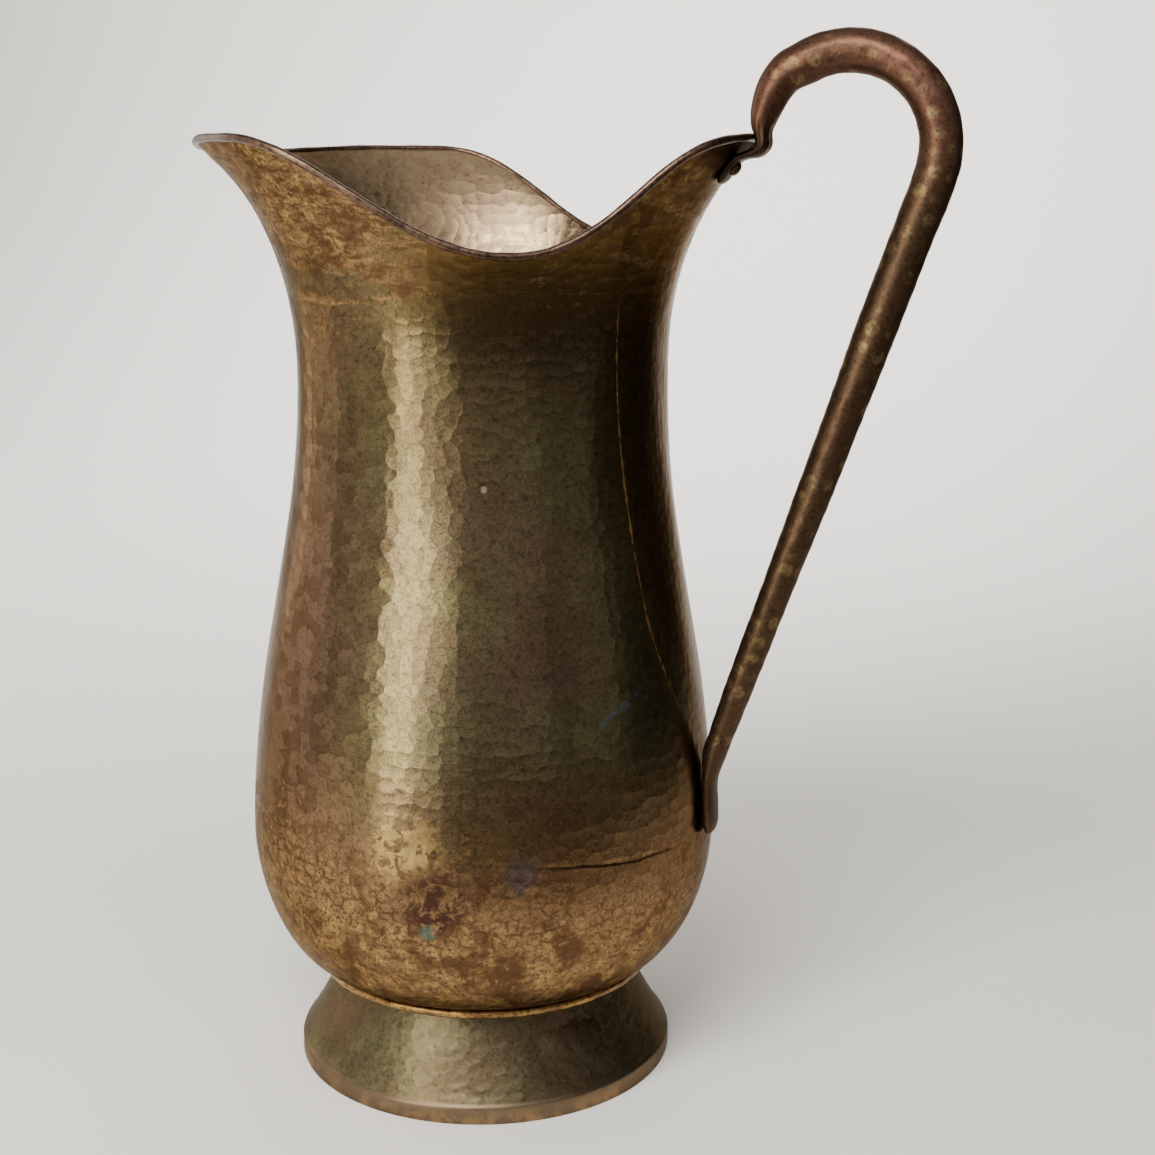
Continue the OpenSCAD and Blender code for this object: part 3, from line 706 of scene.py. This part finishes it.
def flowing(points, spacing):
    """A smooth line through the stations: each column is a Catmull-Rom curve over the length walked
    between stations, taken again at even spacing."""
    gap = np.hypot(*np.diff(points[:, :2], axis=0).T)
    at = np.concatenate([[0], np.cumsum(gap)])
    slope = np.gradient(points, at, axis=0)
    where = np.linspace(0, at[-1], int(at[-1] / spacing))
    i = np.clip(np.searchsorted(at, where, "right") - 1, 0, len(at) - 2)
    h = (at[i + 1] - at[i])[:, None]
    u = ((where - at[i]) / (at[i + 1] - at[i]))[:, None]
    return where, (
        (2 * u**3 - 3 * u**2 + 1) * points[i] + (u**3 - 2 * u**2 + u) * h * slope[i]
        + (3 * u**2 - 2 * u**3) * points[i + 1] + (u**3 - u**2) * h * slope[i + 1])


def handle_rings(points, columns):
    """Sections across the line: superellipses, half thickness in the handle's own plane and half width
    across it, dented where the tube is round."""
    where, line = flowing(points, 1.15)
    ahead = np.gradient(line[:, :2], axis=0)
    ahead /= np.linalg.norm(ahead, axis=1)[:, None]
    side = np.stack([ahead[:, 1], -ahead[:, 0]], -1)
    q = np.arange(columns)[None, :] * 2 * np.pi / columns
    power = 2 / line[:, 4:5]
    c, v = np.cos(q), np.sin(q)
    round_part = np.clip((line[:, 2:3] / line[:, 3:4] - 0.75) / 0.2, 0, 1)
    mean = np.maximum(line[:, 3:4], 5.0)
    dent = hammer_dents(q + 0 * mean, where[:, None] + 0 * q, mean, 9.5, 80.0, 0.3)
    dent = dent * round_part
    # a forged tube is never quite straight or round, and it creases where it is pinched
    walked = where[:, None]
    slow = 0.16 * np.sin(walked / 13) * np.cos(2 * q + 0.5) + 0.10 * np.sin(walked / 29 + 1) * np.cos(q)
    crimp = 0.35 * np.clip(1 - np.abs(walked - where[-1] + 32) / 12, 0, 1) * np.sin(9 * q + 1)
    worked = (dent + slow + 0.08) * round_part
    a = line[:, 2:3] + worked + crimp * 0.6
    b = line[:, 3:4] + worked + crimp
    u = a * np.sign(c) * np.abs(c) ** power
    w = b * np.sign(v) * np.abs(v) ** power
    x = line[:, 0:1] + side[:, 0:1] * u
    z = line[:, 1:2] + side[:, 1:2] * u
    return np.stack([x, w, z], -1)[:, ::-1] * mm, (dent + 0 * q)[:, ::-1]


rings, handle_dent = handle_rings(stations, 56)
handle = skin("handle_visual", rings, False, dent=-handle_dent)

brown_copper, tree, shader, place = new_material("brown_oxidised_copper_sheet")
dent = add(tree, "ShaderNodeAttribute", {"attribute_name": "dent"}).outputs["Fac"]
parts = add(tree, "ShaderNodeSeparateXYZ", Vector=place)
height = parts.outputs["Z"]
cloud = noise(tree, place, 40 * mm, 3.0, 0.5)
mottle = noise(tree, place, 9 * mm, 5.0, 0.62, 0.4)
speck = noise(tree, place, 1.6 * mm, 3.0, 0.65)
redder = maths(tree, "ADD", height, maths(tree, "MULTIPLY", mottle, 0.02))
redder = steps(tree, redder, (0.455, 0.0), (0.500, 1.0))
colour = blend(tree, redder, "#4e3c2b", "#614235")
colour = blend(tree, steps(tree, cloud, (0.40, 0.0), (0.62, 0.6)), colour, "#4e372b")
colour = blend(tree, steps(tree, mottle, (0.42, 0.0), (0.72, 0.5)), colour, "#38281e")
# the dimples' middles are painted paler: partly worn brass, partly painted highlights where the dimples
# face the light
worn_and_glint_spots = maths(tree, "MULTIPLY", steps(tree, dent, (0.35, 0.0), (0.40, 1.0)),
              steps(tree, mottle, (0.44, 1.0), (0.60, 0.1)))
colour = blend(tree, maths(tree, "MULTIPLY", worn_and_glint_spots, 0.55), colour, "#86724d")
colour = blend(tree, steps(tree, speck, (0.36, 0.6), (0.50, 0.0)), colour, "#2b1f17")
# painted shade: under the flare the folded end is painted nearly black
painted_shade = maths(tree, "MULTIPLY", steps(tree, parts.outputs["X"], (0.140, 1.0), (0.150, 0.0)),
             steps(tree, height, (0.440, 0.0), (0.455, 1.0), (0.478, 1.0), (0.490, 0.0)))
colour = blend(tree, maths(tree, "MULTIPLY", painted_shade, 0.75), colour, "#231a14")
tree.links.new(colour, shader.inputs["Base Color"])
shader.inputs["Metallic"].default_value = 0.82
shader.inputs["Specular Tint"].default_value = (0.6, 0.56, 0.52, 1)
tree.links.new(maths(tree, "ADD", 0.29, maths(tree, "MULTIPLY", speck, 0.20)), shader.inputs["Roughness"])
surface_bump(tree, shader, (speck, 0.2, 0.15 * mm), (mottle, 0.12, 0.3 * mm))
handle.data.materials.append(brown_copper)
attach(handle, "root")
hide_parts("handle")


# ---------------------------------------------------------------- rivets and burrs
# Brass rivets through the tongues and the body, each peened over a washer inside. The upper one
# has a domed head outside; the lower two are filed flush. All are nearly black with old polish.
black_brass, tree, shader, place = new_material("blackened_brass_rivet")
speck = noise(tree, place, 1.5 * mm, 3.0, 0.6)
tree.links.new(steps(tree, speck, (0.35, "#2b201a"), (0.65, "#5a4634")), shader.inputs["Base Color"])
shader.inputs["Metallic"].default_value = 1.0
shader.inputs["Roughness"].default_value = 0.38
surface_bump(tree, shader, (speck, 0.4, 0.2 * mm))
for name in ("upper_rivet", "upper_burr", "lower_rivets", "lower_burrs"):
    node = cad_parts[name]
    node.data.materials.clear()
    node.data.materials.append(black_brass)


# ---------------------------------------------------------------- floor and light
# A pale sweep, flat round the jug and curving up behind it, with painted shade darkening it to the front
# right. A tall soft light stands to the left of the camera, with weaker panels beside and above it, and one
# lights the sweep.
q = np.radians(np.linspace(0, 90, 25))
reach = np.concatenate([[-5.0], 1.1 + 0.8 * np.sin(q), [1.9]])
rise = np.concatenate([[0.0], 0.8 - 0.8 * np.cos(q), [4.0]])
sweep = np.stack([
    np.array([-4.0, 4.0])[None, :] + 0 * reach[:, None],
    reach[:, None] + np.zeros((1, 2)), rise[:, None] + np.zeros((1, 2))], -1)
floor_mesh = bpy.data.meshes.new("floor")
row = np.arange(len(reach) - 1)
floor_mesh.from_pydata(sweep.reshape(-1, 3).tolist(), [],
                       np.stack([2 * row, 2 * row + 1, 2 * row + 3, 2 * row + 2], -1).tolist())
floor_mesh.polygons.foreach_set("use_smooth", np.ones(len(row), bool))
floor = bpy.data.objects.new("floor", floor_mesh)
bpy.context.scene.collection.objects.link(floor)
pale, tree, shader, place = new_material("pale_floor")
parts = add(tree, "ShaderNodeSeparateXYZ", Vector=place)
# painted shade: the sweep's colour darkens to the front right, standing in for the shade of the camera's
# side of the room
ahead = maths(tree, "SUBTRACT", parts.outputs["X"], parts.outputs["Y"])
ahead = maths(tree, "MAXIMUM", ahead, parts.outputs["X"])
painted_floor_shade = steps(tree, ahead, (0.38, "#f0eeea"), (0.50, "#c9c4bb"), (0.74, "#8d867d"), (0.95, "#59544e"))
tree.links.new(painted_floor_shade, shader.inputs["Base Color"])
shader.inputs["Roughness"].default_value = 0.9
floor_mesh.materials.append(pale)


def soft_light(name, here, aim, width, tall, bright, colour=(1.0, 0.98, 0.95), spread=180):
    """A rectangular soft light at here, facing aim, as bright as bright watts per square metre per
    steradian: its power is that times pi times its area. here is (bearing in degrees from +X, distance from
    the axis, height)."""
    data = bpy.data.lights.new(name, "AREA")
    data.shape, data.size, data.size_y = "RECTANGLE", width, tall
    data.energy, data.color = bright * math.pi * width * tall, colour
    data.spread = math.radians(spread)
    lamp = bpy.data.objects.new(name, data)
    turn_to = math.radians(here[0])
    here = np.array([here[1] * math.cos(turn_to), here[1] * math.sin(turn_to), here[2]])
    back = here - np.array(aim)
    back /= np.linalg.norm(back)
    across = np.cross([0, 0, 1], back)
    across /= np.linalg.norm(across)
    pose = np.eye(4)
    pose[:3, 0], pose[:3, 1], pose[:3, 2], pose[:3, 3] = across, np.cross(back, across), back, here
    lamp.matrix_world = Matrix(pose.tolist())
    lamp.visible_camera = False
    bpy.context.scene.collection.objects.link(lamp)
    return lamp


soft_light("key", (-111, 1.5, 0.85), (0, 0, 0.85), 0.46, 1.7, 9.0, (1.0, 0.97, 0.84))
soft_light("key_side", (-94, 1.52, 0.85), (0, 0, 0.85), 0.42, 1.7, 2.6)
soft_light("front", (-58, 2.2, 1.0), (0, 0, 1.0), 2.0, 2.0, 0.55)
soft_light("front_right", (-14, 2.2, 1.0), (0, 0, 1.0), 1.3, 2.0, 0.30)
soft_light("high_front", (-88, 1.38, 1.75), (0, 0, 0.45), 1.1, 0.6, 19.0)
soft_light("high_right", (-35, 1.5, 2.0), (0, 0, 0.45), 1.2, 0.8, 1.6)
soft_light("overhead", (-60, 0.2, 2.5), (0, 0.01, 0), 2.6, 2.6, 0.6)
soft_light("left", (-142, 1.9, 0.9), (0, 0, 0.9), 0.75, 1.8, 1.0, (1.0, 0.92, 0.84))
soft_light("left_rear", (178, 1.9, 0.9), (0, 0, 0.9), 1.6, 1.8, 1.7, (1.0, 0.93, 0.86))
soft_light("rear_strip", (163, 1.9, 0.7), (0, 0, 0.7), 0.07, 1.3, 9.0)
soft_light("backdrop", (60, 0.9, 2.2), (-0.6, 1.8, 0.5), 1.8, 0.6, 8.0, spread=84)

world = bpy.data.worlds.new("studio")
world.use_nodes = True
world.node_tree.nodes["Background"].inputs["Color"].default_value = (0.30, 0.29, 0.28, 1)
world.node_tree.nodes["Background"].inputs["Strength"].default_value = 0.35
bpy.context.scene.world = world
